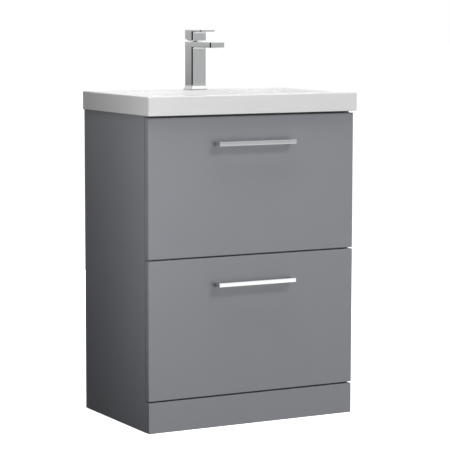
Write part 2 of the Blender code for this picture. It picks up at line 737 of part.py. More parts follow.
def tap_carrier_and_spindle():
    """The carrier that turns in the cartridge, and the spindle that tilts in the carrier."""
    slot_half, slot_reach, spindle = 0.0045, 0.0080, SPINDLE_HALF
    carrier = upright("tap_carrier", tap_axis(), 0.9723, 0.9815, 0.0103, "brass", 24)
    slot = block("slot", (-slot_half, slot_half), (TAP_DEPTH - slot_reach, TAP_DEPTH + slot_reach),
                 (0.9760, 0.9900), "brass")
    smooth(cut(carrier, slot))
    set_origin(carrier, (*tap_axis(), LEVER_PIVOT))
    bar = block("tap_spindle", (-spindle, spindle), (TAP_DEPTH - spindle, TAP_DEPTH + spindle),
                (0.9790, LEVER_SOCKET_TOP - 0.0005), "steel", 0.0004)
    set_origin(bar, (*tap_axis(), LEVER_PIVOT))


def lever_outline():
    """The side view of the lever: a block with a chamfer behind and a thin plate forwards."""
    back, front, throat = TAP_DEPTH - TAP_HALF, TAP_DEPTH + TAP_HALF, 0.004
    plate_under, chamfer = LEVER_TOP - LEVER_PLATE, 0.006
    outline = [(front, LEVER_PIVOT), (TAP_DEPTH - 0.002, LEVER_PIVOT),
               (back, LEVER_PIVOT + chamfer), (back, LEVER_TOP), (LEVER_REACH, LEVER_TOP),
               (LEVER_REACH, plate_under)]
    return outline + arc((front + throat, plate_under - throat), throat, 90, 180, 3)


def tap_lever():
    """The lever, with a socket for the spindle and a hidden grub screw behind."""
    back, height = TAP_DEPTH - TAP_HALF, GRUB_SCREW_HEIGHT
    socket_half, screw_radius, cap_radius, cap_depth = SPINDLE_HALF + 0.0003, 0.0020, 0.0037, 0.0022
    lever = prism("tap_lever", lever_outline(), -TAP_HALF, TAP_HALF, side_profile, "chrome")
    soften(lever, 0.0006)
    recess = upright("recess", tap_axis(), LEVER_PIVOT - 0.005, LEVER_PIVOT + 0.004, 0.0130,
                     "chrome", 24)
    socket = block("socket", (-socket_half, socket_half),
                   (TAP_DEPTH - socket_half, TAP_DEPTH + socket_half),
                   (LEVER_PIVOT, LEVER_SOCKET_TOP), "chrome")
    screw_way = rod("screw_way", (0, y_at(back - 0.005), height),
                    (0, y_at(TAP_DEPTH - 0.002), height), screw_radius + 0.0004, "chrome", 12)
    seat = rod("seat", (0, y_at(back - 0.005), height),
               (0, y_at(back + cap_depth + JOINT_GAP), height), cap_radius + 0.0003, "chrome")
    smooth(cut(lever, recess, socket, screw_way, seat))
    screw = rod("tap_grub_screw", (0, y_at(back + 0.0045), height),
                (0, y_at(TAP_DEPTH - socket_half), height), screw_radius, "steel", 12)
    cap = rod("tap_screw_cap", (0, y_at(back - 0.0004), height),
              (0, y_at(back + cap_depth), height), cap_radius, "chrome")
    for piece in (lever, screw, cap):
        set_origin(piece, (*tap_axis(), LEVER_PIVOT))


def tap_aerator():
    """A flow straightener ring with a cross inside, pressed into the spout's underside."""
    inside, outside, edge, long_arm, short_arm = 0.0080, 0.0109, 0.0009, 0.0085, 0.0006
    low, high = SPOUT_BOTTOM - 0.0012, AERATOR_SEAT - 0.0040
    profile = [(inside, low), (outside - edge, low), (outside, low + edge), (outside, high),
               (inside, high)]
    ring = turned("tap_aerator", profile, (0, y_at(AERATOR_DEPTH)), "chrome", 24)
    for half_x, half_depth, top in ((long_arm, short_arm, 0.0028), (short_arm, long_arm, 0.0021)):
        bar = block("bar", (-half_x, half_x), (AERATOR_DEPTH - half_depth, AERATOR_DEPTH + half_depth),
                    (SPOUT_BOTTOM, SPOUT_BOTTOM + top), "chrome")
        join(ring, bar)


def horseshoe(name, low, high, finish):
    """A round plate under the deck, open towards the back, with a hole for the stud."""
    radius, mouth_half, past = 0.022, 0.014, 0.010
    plate = upright(name, tap_axis(), low, high, radius, finish, 24)
    stud_gap = upright("gap", (0, y_at(STUD_DEPTH)), low - past, high + past,
                       STUD_RADIUS + 0.0004, finish)
    mouth = block("mouth", (-mouth_half, mouth_half), (TAP_DEPTH - 0.030, TAP_DEPTH + 0.004),
                  (low - past, high + past), finish)
    return cut(plate, stud_gap, mouth)


def tap_fixings():
    """Stud, rubber washer, horseshoe plate and nut that clamp the tap to the deck."""
    stud_axis = (0, y_at(STUD_DEPTH))
    washer, plate, nut_height = 0.003, 0.002, 0.008
    upright("tap_stud", stud_axis, 0.7950, 0.8675, STUD_RADIUS, "brass")
    washer_top = BASIN_TOP - DECK_THICKNESS - JOINT_GAP
    plate_top = washer_top - washer - JOINT_GAP
    nut_top = plate_top - plate - JOINT_GAP
    horseshoe("tap_washer", washer_top - washer, washer_top, "black_rubber")
    horseshoe("tap_clamp_plate", plate_top - plate, plate_top, "steel")
    nut = upright("tap_nut", stud_axis, nut_top - nut_height, nut_top, 0.0075, "brass", 6)
    bore = upright("bore", stud_axis, nut_top - 0.020, nut_top + 0.010, STUD_RADIUS + 0.0003,
                   "brass")
    cut(nut, bore)


def clear_scene():
    for obj in list(bpy.data.objects):
        bpy.data.objects.remove(obj)


def build():
    clear_scene()
    side_panels()
    base_panel()
    rails()
    plinth()
    wall_brackets()
    drawer("upper", UPPER_FRONT, upper_drawer_box(), UPPER_RUNNER_HEIGHT)
    drawer("lower", LOWER_FRONT, lower_drawer_box(), LOWER_RUNNER_HEIGHT)
    basin()
    overflow_duct()
    overflow_ring()
    waste_body()
    waste_plug()
    waste_fixings()
    tap_body()
    tap_cartridge()
    tap_carrier_and_spindle()
    tap_lever()
    tap_aerator()
    tap_fixings()


build()
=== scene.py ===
"""The looks of the bathroom vanity cabinet: finer pieces, materials, lights and camera.

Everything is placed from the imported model. Depths are counted from the wall plane, at the
cabinet's back, and larger depths come forwards, towards -Y.
"""
import json
import math

import bmesh
import bpy
from mathutils import Matrix, Vector


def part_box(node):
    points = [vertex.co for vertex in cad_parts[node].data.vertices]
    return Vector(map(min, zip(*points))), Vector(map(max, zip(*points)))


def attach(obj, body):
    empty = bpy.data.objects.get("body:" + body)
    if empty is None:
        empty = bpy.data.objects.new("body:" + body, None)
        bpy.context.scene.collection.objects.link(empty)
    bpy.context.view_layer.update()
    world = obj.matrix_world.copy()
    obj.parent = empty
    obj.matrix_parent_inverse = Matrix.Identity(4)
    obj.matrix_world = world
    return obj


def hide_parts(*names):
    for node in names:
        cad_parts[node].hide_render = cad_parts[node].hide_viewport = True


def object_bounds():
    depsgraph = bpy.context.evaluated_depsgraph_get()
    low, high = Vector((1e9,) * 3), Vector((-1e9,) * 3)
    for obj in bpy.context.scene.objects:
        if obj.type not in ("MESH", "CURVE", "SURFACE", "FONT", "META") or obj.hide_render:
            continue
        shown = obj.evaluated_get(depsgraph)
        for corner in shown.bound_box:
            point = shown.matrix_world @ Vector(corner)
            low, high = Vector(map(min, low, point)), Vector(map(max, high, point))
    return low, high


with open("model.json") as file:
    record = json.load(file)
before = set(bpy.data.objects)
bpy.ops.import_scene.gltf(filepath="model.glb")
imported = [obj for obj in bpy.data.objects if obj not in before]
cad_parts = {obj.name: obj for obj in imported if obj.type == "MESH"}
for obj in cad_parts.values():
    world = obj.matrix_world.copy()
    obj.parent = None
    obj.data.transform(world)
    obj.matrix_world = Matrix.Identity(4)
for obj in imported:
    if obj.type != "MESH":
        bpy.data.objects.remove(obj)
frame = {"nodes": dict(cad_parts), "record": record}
CAD_LOW, CAD_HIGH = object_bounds()

WALL_Y = CAD_HIGH.y


def y_at(depth):
    """The Y coordinate of a point at this depth in front of the wall."""
    return WALL_Y - depth


def depth_at(y):
    """How far in front of the wall a Y coordinate is."""
    return WALL_Y - y


# Materials

def shader_material(name):
    """A new material: returns it with its node tree and its Principled shader."""
    made = bpy.data.materials.new(name)
    made.use_nodes = True
    return made, made.node_tree, made.node_tree.nodes["Principled BSDF"]


def add_node(tree, kind, values=None, **settings):
    """A node with its settings and its unlinked input values."""
    node = tree.nodes.new(kind)
    for key, value in settings.items():
        setattr(node, key, value)
    for key, value in (values or {}).items():
        node.inputs[key].default_value = value
    return node


def object_coordinates(tree, stretch=(1, 1, 1)):
    """Coordinates in metres that stay with the piece, stretched along each axis."""
    place = add_node(tree, "ShaderNodeTexCoord")
    scale = add_node(tree, "ShaderNodeVectorMath", {1: stretch}, operation="MULTIPLY")
    tree.links.new(place.outputs["Object"], scale.inputs[0])
    return scale.outputs[0]


def noise(tree, coordinates, scale, detail=3.0, roughness=0.5):
    found = add_node(tree, "ShaderNodeTexNoise",
                     {"Scale": scale, "Detail": detail, "Roughness": roughness})
    tree.links.new(coordinates, found.inputs["Vector"])
    return found.outputs["Fac"]


def wave(tree, coordinates, scale, direction, distortion=0.0):
    found = add_node(tree, "ShaderNodeTexWave",
                     {"Scale": scale, "Distortion": distortion, "Detail": 2.0},
                     bands_direction=direction)
    tree.links.new(coordinates, found.inputs["Vector"])
    return found.outputs["Fac"]


def spread(tree, factor, low, high):
    """Spread a 0 to 1 value between low and high."""
    ranged = add_node(tree, "ShaderNodeMapRange", {"To Min": low, "To Max": high})
    tree.links.new(factor, ranged.inputs["Value"])
    return ranged.outputs["Result"]


def tint(tree, factor, dark, light):
    """A colour between dark and light."""
    mix = add_node(tree, "ShaderNodeMix", data_type="RGBA")
    mix.inputs["A"].default_value = (*dark, 1.0)
    mix.inputs["B"].default_value = (*light, 1.0)
    tree.links.new(factor, mix.inputs["Factor"])
    return mix.outputs["Result"]


def bump(tree, shader, height, strength, distance):
    """Fine relief on the shader's surface, distance in metres."""
    relief = add_node(tree, "ShaderNodeBump", {"Strength": strength, "Distance": distance})
    tree.links.new(height, relief.inputs["Height"])
    tree.links.new(relief.outputs["Normal"], shader.inputs["Normal"])


def blend_heights(tree, first, second, share=0.5):
    mix = add_node(tree, "ShaderNodeMix", {"Factor": share}, data_type="FLOAT")
    tree.links.new(first, mix.inputs["A"])
    tree.links.new(second, mix.inputs["B"])
    return mix.outputs["Result"]


def vary(tree, shader, patches, colours, roughness):
    """Colour and roughness that drift over the surface with one noise."""
    tree.links.new(tint(tree, patches, *colours), shader.inputs["Base Color"])
    tree.links.new(spread(tree, patches, *roughness), shader.inputs["Roughness"])


def grey_lacquer():
    """Satin cool grey lacquer, with faint clouding and a fine orange peel."""
    made, tree, shader = shader_material("grey_lacquer_finish")
    place = object_coordinates(tree)
    vary(tree, shader, noise(tree, place, 9.0),
         ((0.254, 0.261, 0.283), (0.267, 0.275, 0.299)), (0.27, 0.33))
    peel = blend_heights(tree, noise(tree, place, 420.0, 2.0), noise(tree, place, 60.0, 2.0), 0.3)
    bump(tree, shader, peel, 0.10, 0.0002)
    shader.inputs["IOR"].default_value = 1.48
    return made


def drawer_board():
    """Grey foil on board, embossed like fine linen."""
    made, tree, shader = shader_material("drawer_board_finish")
    place = object_coordinates(tree)
    across = wave(tree, place, 330.0, "X", 1.2)
    along = wave(tree, place, 330.0, "Y", 1.2)
    upright = wave(tree, place, 330.0, "Z", 1.2)
    threads = blend_heights(tree, blend_heights(tree, across, along), upright, 0.4)
    cloud = blend_heights(tree, noise(tree, place, 40.0), threads, 0.55)
    vary(tree, shader, cloud, ((0.235, 0.240, 0.250), (0.330, 0.335, 0.345)), (0.48, 0.62))
    bump(tree, shader, threads, 0.35, 0.0002)
    return made


def white_glaze():
    """Glossy white glaze, with a very slight swell in its surface."""
    made, tree, shader = shader_material("white_glaze_finish")
    place = object_coordinates(tree)
    vary(tree, shader, noise(tree, place, 14.0, 2.0),
         ((0.765, 0.768, 0.765), (0.790, 0.790, 0.786)), (0.07, 0.11))
    swell = blend_heights(tree, noise(tree, place, 24.0, 1.0), noise(tree, place, 260.0, 2.0), 0.2)
    bump(tree, shader, swell, 0.012, 0.0004)
    shader.inputs["Coat Weight"].default_value = 0.35
    shader.inputs["Coat Roughness"].default_value = 0.04
    return made


def chrome():
    """Polished chrome, with faint wiping marks."""
    made, tree, shader = shader_material("chrome_finish")
    place = object_coordinates(tree, (1, 1, 0.35))
    vary(tree, shader, noise(tree, place, 90.0, 4.0, 0.6),
         ((0.74, 0.75, 0.76), (0.80, 0.81, 0.82)), (0.030, 0.060))
    bump(tree, shader, noise(tree, place, 35.0, 2.0), 0.04, 0.0002)
    shader.inputs["Metallic"].default_value = 1.0
    return made


def zinc_steel():
    """Zinc-plated steel, with fine lines drawn along the runners."""
    made, tree, shader = shader_material("zinc_steel_finish")
    drawn = object_coordinates(tree, (1, 0.02, 1))
    plain = object_coordinates(tree)
    lines = noise(tree, drawn, 1500.0, 3.0, 0.7)
    vary(tree, shader, blend_heights(tree, lines, noise(tree, plain, 70.0), 0.45),
         ((0.43, 0.44, 0.45), (0.62, 0.63, 0.64)), (0.26, 0.44))
    bump(tree, shader, lines, 0.15, 0.0001)
    shader.inputs["Metallic"].default_value = 1.0
    return made


def machined_brass():
    """Turned brass, a little dull."""
    made, tree, shader = shader_material("machined_brass_finish")
    turned_lines = object_coordinates(tree, (0.1, 0.1, 1))
    lines = noise(tree, turned_lines, 1800.0, 3.0)
    vary(tree, shader, lines, ((0.58, 0.43, 0.20), (0.74, 0.57, 0.31)), (0.24, 0.40))
    bump(tree, shader, lines, 0.2, 0.0001)
    shader.inputs["Metallic"].default_value = 1.0
    return made


def black_rubber():
    """Matt rubber with a dusty grain."""
    made, tree, shader = shader_material("black_rubber_finish")
    place = object_coordinates(tree)
    grain = noise(tree, place, 900.0, 3.0)
    vary(tree, shader, grain, ((0.018, 0.018, 0.019), (0.040, 0.040, 0.041)), (0.62, 0.80))
    bump(tree, shader, grain, 0.3, 0.0001)
    return made


def moulded_plastic():
    """White moulded plastic, finely textured."""
    made, tree, shader = shader_material("moulded_plastic_finish")
    place = object_coordinates(tree)
    grain = noise(tree, place, 1200.0, 2.0)
    vary(tree, shader, grain, ((0.74, 0.74, 0.72), (0.82, 0.82, 0.80)), (0.38, 0.52))
    bump(tree, shader, grain, 0.2, 0.0001)
    return made


MAKERS = {"grey_lacquer": grey_lacquer, "drawer_board": drawer_board, "ceramic": white_glaze,
          "chrome": chrome, "steel": zinc_steel, "brass": machined_brass,
          "rubber": black_rubber, "plastic": moulded_plastic}
FINISHES = {slot: make() for slot, make in MAKERS.items()}


def finish_cad_nodes():
    """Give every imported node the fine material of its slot."""
    for part in frame["record"]["subparts"]:
        node = frame["nodes"][part["node"]]
        for material_slot in node.material_slots:
            material_slot.material = FINISHES[part["material_slot"]]


# Modelling tools

# Edges that turn by more than this count as sharp.
SHARP_ANGLE = math.radians(40)


def add_piece(name, bm, slot, body):
    """Turn a bmesh into a piece that rides on a body and takes a slot's finish."""
    bmesh.ops.recalc_face_normals(bm, faces=bm.faces)
    mesh = bpy.data.meshes.new(name)
    bm.to_mesh(mesh)
    bm.free()
    mesh.materials.append(FINISHES[slot])
    obj = bpy.data.objects.new(name, mesh)
    bpy.context.collection.objects.link(obj)
    if body:
        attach(obj, body)
    return obj


def bake(obj):
    """Apply an object's modifiers to its mesh."""
    graph = bpy.context.evaluated_depsgraph_get()
    baked = bpy.data.meshes.new_from_object(obj.evaluated_get(graph))
    obj.modifiers.clear()
    obj.data = baked


def combine(obj, others, operation):
    for other in others:
        step = obj.modifiers.new(operation.lower(), "BOOLEAN")
        step.operation = operation
        step.object = other
        bake(obj)
        bpy.data.objects.remove(other)
    return obj


def cut(obj, *cutters):
    return combine(obj, cutters, "DIFFERENCE")


def join(obj, *others):
    return combine(obj, others, "UNION")


def soften(obj, width, segments=3):
    """Round the sharp edges."""
    step = obj.modifiers.new("edges", "BEVEL")
    step.width = width
    step.segments = segments
    step.limit_method = "ANGLE"
    step.angle_limit = SHARP_ANGLE
    step.use_clamp_overlap = True
    bake(obj)
    return obj


def shade(obj, angle=SHARP_ANGLE):
    """Smooth shading that keeps flat faces flat and crisp edges crisp."""
    obj.data.shade_smooth()
    obj.data.set_sharp_from_angle(angle=angle)
    step = obj.modifiers.new("normals", "WEIGHTED_NORMAL")
    step.keep_sharp = True
    step.weight = 100
    bake(obj)
    return obj


def block(name, x, depth, z, slot, body=None):
    """A box between two X values, two depths and two heights."""
    bm = bmesh.new()
    bmesh.ops.create_cube(bm, size=1.0)
    size = Vector((x[1] - x[0], depth[1] - depth[0], z[1] - z[0]))
    centre = Vector((sum(x) / 2, y_at(sum(depth) / 2), sum(z) / 2))
    bmesh.ops.scale(bm, vec=size, verts=bm.verts)
    bmesh.ops.translate(bm, vec=centre, verts=bm.verts)
    return add_piece(name, bm, slot, body)


def prism(name, outline, low, high, place, slot, body=None):
    """A closed outline swept from low to high, where place(a, b, c) gives a point."""
    bm = bmesh.new()
    start = bm.faces.new([bm.verts.new(place(a, b, low)) for a, b in outline])
    swept = bmesh.ops.extrude_face_region(bm, geom=[start])
    moved = [item for item in swept["geom"] if isinstance(item, bmesh.types.BMVert)]
    shift = Vector(place(0, 0, high)) - Vector(place(0, 0, low))
    bmesh.ops.translate(bm, vec=shift, verts=moved)
    return add_piece(name, bm, slot, body)


def side_profile(a, b, c):
    return (c, y_at(a), b)


def plan_profile(a, b, c):
    return (a, y_at(b), c)


def arc(centre, radius, start, end, steps=10):
    """Points on an arc, with its angles in degrees."""
    points = []
    for step in range(steps + 1):
        angle = math.radians(start + (end - start) * step / steps)
        points.append((centre[0] + radius * math.cos(angle), centre[1] + radius * math.sin(angle)))
    return points


def rounded_ring(half_x, back, front, radius, height, corner_steps=12):
    """Points round a rounded rectangle at one height."""
    radius = min(radius, half_x * 0.999, (front - back) * 0.4995)
    centres = ((half_x - radius, back + radius, -90), (half_x - radius, front - radius, 0),
               (-half_x + radius, front - radius, 90), (-half_x + radius, back + radius, 180))
    points = []
    for x, depth, start in centres:
        points += arc((x, depth), radius, start, start + 90, corner_steps)
    return [plan_profile(x, depth, height) for x, depth in points]


def skin(bm, rings, closed=False):
    """Quads between rings of equal length, as a tube or, when closed, as a ring of tubes."""
    rows = [[bm.verts.new(point) for point in ring] for ring in rings]
    pairs = list(zip(rows, rows[1:])) + ([(rows[-1], rows[0])] if closed else [])
    count = len(rows[0])
    for lower, upper in pairs:
        for i in range(count):
            j = (i + 1) % count
            bm.faces.new((lower[i], lower[j], upper[j], upper[i]))
    return rows


def loft(name, rings, slot):
    """A solid over rings of equal length, with flat ends."""
    bm = bmesh.new()
    rows = skin(bm, rings)
    bm.faces.new(rows[0])
    bm.faces.new(rows[-1])
    return add_piece(name, bm, slot, None)


def rod(name, start, end, radius, slot, body=None, segments=48):
    """A round bar between two points."""
    start, end = Vector(start), Vector(end)
    along = end - start
    bm = bmesh.new()
    bmesh.ops.create_cone(bm, cap_ends=True, segments=segments, radius1=radius,
                          radius2=radius, depth=along.length)
    turn = along.to_track_quat("Z", "Y").to_matrix().to_4x4()
    bmesh.ops.transform(bm, matrix=Matrix.Translation((start + end) / 2) @ turn, verts=bm.verts)
    return add_piece(name, bm, slot, body)


def bezier(controls, t):
    a, b, c, d = controls
    s = 1 - t
    return a * s ** 3 + 3 * b * s * s * t + 3 * c * s * t * t + d * t ** 3


def spans(node):
    """A node's X range, depth range and height range."""
    low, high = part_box(node)
    return (low.x, high.x), (depth_at(high.y), depth_at(low.y)), (low.z, high.z)


# Cabinet boards

BOARD_EDGE = 0.0009
FRONT_EDGE = 0.0012


def rounded_board(node, body, edge):
    """A board with softly rounded edges in place of a packed one."""
    x, depth, z = spans(node)
    board = block(node + "_shaped", x, depth, z, "grey_lacquer", body)
    soften(board, edge)
    shade(board)
    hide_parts(node)


def cabinet_boards():
    for node in ("side_panel_left", "side_panel_right", "plinth_board"):
        rounded_board(node, "root", BOARD_EDGE)
    for drawer in ("upper", "lower"):
        rounded_board(drawer + "_drawer_front", drawer + "_drawer", FRONT_EDGE)


# Handles

HANDLE_BAR = 0.010
HANDLE_EDGE = 0.0006


def handle(drawer):
    """A square bar on two posts, all edges finely rounded."""
    x, depth, z = spans(drawer + "_handle")
    bar = HANDLE_BAR
    outline = [(x[0], depth[0]), (x[0] + bar, depth[0]), (x[0] + bar, depth[1] - bar),
               (x[1] - bar, depth[1] - bar), (x[1] - bar, depth[0]), (x[1], depth[0]),
               (x[1], depth[1]), (x[0], depth[1])]
    piece = prism(drawer + "_handle_shaped", outline, *z, plan_profile, "chrome",
                  drawer + "_drawer")
    soften(piece, HANDLE_EDGE)
    shade(piece)
    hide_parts(drawer + "_handle")


# Basin and waste

BASIN_X, BASIN_D, BASIN_Z = spans("basin")
DECK = BASIN_Z[1]
DECK_THICKNESS = 0.012
RIM_ROUND = 0.003
LIP_ROUND = 0.006

# The apron's lower edge, its corners, and the hollow behind it.
APRON_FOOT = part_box("side_panel_left")[1].z + 0.0003
APRON_CORNER = 0.004
APRON_EDGE = 0.001
HOLLOW_HALF = 0.283
HOLLOW_DEPTHS = (0.014, 0.3745)
HOLLOW_CORNER = 0.006

# How far the deck's rings move in from the rim before they meet the bowl.
DECK_SIDE = 0.0432
DECK_BACK = 0.100
DECK_FRONT = 0.024
DECK_CORNERS = (0.006, 0.030)

# The bowl from its rim to its floor: the four control values of each curve.
BOWL_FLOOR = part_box("waste_body")[1].z - 0.0029
BOWL_HEIGHTS = (DECK, 0.825, 0.746, BOWL_FLOOR)
BOWL_HALF_WIDTHS = (0.248, 0.199, 0.120, 0.055)
BOWL_BACKS = (0.112, 0.116, 0.120, 0.190)
BOWL_FRONTS = (0.362, 0.340, 0.322, 0.270)
BOWL_RADII = (0.028, 0.040, 0.055, 0.040)
BOWL_SHELL = 0.008
BOWL_FLOOR_THICKNESS = 0.009

# Where the deck turns down into the bowl: how far down the bowl's curve, how far out from it
# as a share of LIP_ROUND, and the drop.
LIP = ((0.0, 1.0, 0.0), (0.0, 0.6, 0.0002), (0.015, 0.2, 0.0))
BOWL_START = 0.03
BOWL_STEPS = 24
UNDERSIDE_REACH = 0.985
UNDERSIDE_STEPS = 12

WASTE_SEAT = BASIN_Z[0]
WASTE_DEPTH = sum(spans("waste_body")[1]) / 2
WASTE_HOLE_RADIUS = 0.0230
WASTE_HOLE_ROUND = 0.0023
WASTE_DISH_RADIUS = 0.034
BOSS_RADIUS = 0.038
BOSS_TOP = 0.7345
BOSS_WAY_HALF = 0.014
BOSS_WAY_HEIGHTS = (0.722, 0.730)

OVERFLOW_TILT = math.radians(13)
OVERFLOW_DEPTH = 0.118
OVERFLOW_HEIGHT = 0.815
OVERFLOW_RADIUS = 0.0125

TAP_HOLE_RADIUS = 0.0175
TAP_CENTRE = (0, (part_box("tap_carrier")[0].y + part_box("tap_carrier")[1].y) / 2)
TAP_DEPTH = depth_at(TAP_CENTRE[1])


def bowl_ring(t, outward=0.0, lowered=0.0):
    """A ring round the bowl, from its rim at t = 0 to its floor at t = 1."""
    return rounded_ring(bezier(BOWL_HALF_WIDTHS, t) + outward, bezier(BOWL_BACKS, t) - outward,
                        bezier(BOWL_FRONTS, t) + outward, bezier(BOWL_RADII, t) + outward,
                        bezier(BOWL_HEIGHTS, t) - lowered)


def apron_ring(inset, corner, height):
    """A ring at the basin's outline, this far inside it."""
    return rounded_ring(BASIN_X[1] - inset, BASIN_D[0] + inset, BASIN_D[1] - inset, corner, height)


def rim_rings():
    """The apron's outer face and the rounded edge that turns it into the deck."""
    rings = [apron_ring(APRON_EDGE, APRON_CORNER - APRON_EDGE, APRON_FOOT),
             apron_ring(0.0, APRON_CORNER, APRON_FOOT + APRON_EDGE)]
    for step in range(7):
        angle = math.radians(90 * step / 6)
        rings.append(apron_ring(RIM_ROUND * (1 - math.cos(angle)), APRON_CORNER,
                                DECK - RIM_ROUND * (1 - math.sin(angle))))
    return rings


def deck_rings():
    """The flat deck, from the rounded rim in to the bowl."""
    first, last = DECK_CORNERS
    return [rounded_ring(BASIN_X[1] - RIM_ROUND - DECK_SIDE * share,
                         BASIN_D[0] + RIM_ROUND + DECK_BACK * share,
                         BASIN_D[1] - RIM_ROUND - DECK_FRONT * share,
                         first + (last - first) * share, DECK)
            for share in (0.25, 0.6, 0.9)]


def waste_rings():
    """The waste hole down through the floor, and the boss round it underneath."""
    profile = ((WASTE_DISH_RADIUS, BOWL_FLOOR),
               (WASTE_HOLE_RADIUS + WASTE_HOLE_ROUND, BOWL_FLOOR),
               (WASTE_HOLE_RADIUS, BOWL_FLOOR - WASTE_HOLE_ROUND),
               (WASTE_HOLE_RADIUS, WASTE_SEAT), (BOSS_RADIUS, WASTE_SEAT),
               (BOSS_RADIUS, BOSS_TOP))
    return [rounded_ring(radius, WASTE_DEPTH - radius, WASTE_DEPTH + radius, radius, height)
            for radius, height in profile]


def basin_shell():
    """The whole casting as one skin: apron, deck, bowl, waste hole and hollow underside."""
    rings = rim_rings() + deck_rings()
    rings += [bowl_ring(t, LIP_ROUND * share, lowered) for t, share, lowered in LIP]
    rings += [bowl_ring(BOWL_START + (1 - BOWL_START) * step / BOWL_STEPS)
              for step in range(1, BOWL_STEPS + 1)]
    rings += waste_rings()
    rings += [bowl_ring(1 - step / UNDERSIDE_STEPS * UNDERSIDE_REACH, BOWL_SHELL,
                        BOWL_FLOOR_THICKNESS)
              for step in range(UNDERSIDE_STEPS + 1)]
    rings += [rounded_ring(HOLLOW_HALF, *HOLLOW_DEPTHS, HOLLOW_CORNER, height)
              for height in (DECK - DECK_THICKNESS, APRON_FOOT)]
    bm = bmesh.new()
    skin(bm, rings, closed=True)
    bmesh.ops.remove_doubles(bm, verts=bm.verts, dist=1e-6)
    return add_piece("basin_shaped", bm, "ceramic", "root")


def overflow_axis(along):
    """A point on the overflow hole's axis, this far out from the bowl's back wall."""
    slope = Vector((0, -math.cos(OVERFLOW_TILT), math.sin(OVERFLOW_TILT)))
    return Vector((0, y_at(OVERFLOW_DEPTH), OVERFLOW_HEIGHT)) + slope * along


def overflow_rod(name, start, end, radius, slot, body=None, segments=48):
    """A round bar along the overflow hole's axis."""
    return rod(name, overflow_axis(start), overflow_axis(end), radius, slot, body, segments)


def basin():
    """The basin casting, with its waste boss, overflow hole and tap hole."""
    body = basin_shell()
    past = 0.010
    way_depths = (WASTE_DEPTH - BOSS_RADIUS - past, WASTE_DEPTH - WASTE_HOLE_RADIUS + past / 2)
    boss_way = block("boss_way", (-BOSS_WAY_HALF, BOSS_WAY_HALF), way_depths, BOSS_WAY_HEIGHTS,
                     "ceramic")
    overflow = overflow_rod("overflow", -0.016, 0.020, OVERFLOW_RADIUS, "ceramic")
    tap_hole = rod("tap_hole", (*TAP_CENTRE, DECK - 3 * past), (*TAP_CENTRE, DECK + past),
                   TAP_HOLE_RADIUS, "ceramic")
    cut(body, boss_way, overflow, tap_hole)
    shade(body, math.radians(50))
    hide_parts("basin")


def overflow_ring():
    """A chrome ring with a domed face, in the bowl's back wall."""
    face_radius, collar_radius, bore_radius, dome = 0.0150, 0.0118, 0.0100, 0.0011
    ring = overflow_rod("overflow_ring_shaped", 0.0010, 0.0034, face_radius, "chrome", "root", 64)
    soften(ring, dome, 4)
    join(ring, overflow_rod("collar", -0.006, 0.002, collar_radius, "chrome"))
    cut(ring, overflow_rod("bore", -0.02, 0.02, bore_radius, "chrome", None, 64))
    shade(ring)
    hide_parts("overflow_ring")


# Tap

TAP_HALF = spans("tap_lever")[0][1]
TAP_BACK, TAP_FRONT = TAP_DEPTH - TAP_HALF, TAP_DEPTH + TAP_HALF
TAP_CORNER = 0.003
TAP_EDGE = 0.0008

# The square foot, up to where it sweeps into the column.
FOOT_HALF = 0.0248
FOOT_EDGE = 0.0018
FOOT_ROUND = 0.0004
FOOT_SWEEP = 0.0105
FOOT_CORNER = 0.001

SPOUT_BOTTOM = 0.9672
SPOUT_THROAT = 0.005
CARTRIDGE_SEAT = 0.9340
CARTRIDGE_BORE = 0.0180
AERATOR_DEPTH = sum(spans("tap_aerator")[1]) / 2
AERATOR_SEAT = 0.9745
AERATOR_RADIUS = 0.0112
INLET_X = 0.009
INLET_RADIUS = 0.0045
INLET_TOP = 0.875
STUD_DEPTH = sum(spans("tap_stud")[1]) / 2
STUD_HOLE_RADIUS = 0.0043
STUD_HOLE_TOP = 0.868

PLATE_THICKNESS = 0.0048
PLATE_THROAT = 0.004

# The wedge cut away under the lever's back, which lets it tilt.
WEDGE_GAP = 0.002
WEDGE_RISE = 0.006

CARRIER_RADIUS = 0.0130
CARRIER_RECESS = 0.004
SOCKET_HALF = 0.0043
SOCKET_TOP = 1.0005
SCREW_HEIGHT = sum(spans("tap_grub_screw")[2]) / 2
SCREW_WAY_RADIUS = 0.0024
CAP_SEAT_RADIUS = 0.0040
CAP_SEAT_DEPTH = 0.0025


def tap_bar(name, depth, z):
    """A level bar as wide as the tap: well rounded uprights, and finely rounded level edges."""
    rings = []
    for side, height in ((1, z[0]), (-1, z[1])):
        turns = [math.radians(90 * step / 3) for step in range(4)]
        for turn in (turns if side > 0 else reversed(turns)):
            inset = TAP_EDGE * (1 - math.sin(turn))
            rings.append(rounded_ring(TAP_HALF - inset, depth[0] + inset, depth[1] - inset,
                                      TAP_CORNER, height + side * TAP_EDGE * (1 - math.cos(turn)),
                                      6))
    return loft(name, rings, "chrome")


def throat(name, under, radius):
    """A hollow round where a level bar leaves the front of an upright one."""
    inside, above = TAP_FRONT - TAP_CORNER, under + 0.001
    outline = [(inside, above), (TAP_FRONT + radius, above)]
    outline += arc((TAP_FRONT + radius, under - radius), radius, 90, 180, 8)
    outline.append((inside, under - radius))
    half = TAP_HALF - TAP_CORNER
    return prism(name, outline, -half, half, side_profile, "chrome")


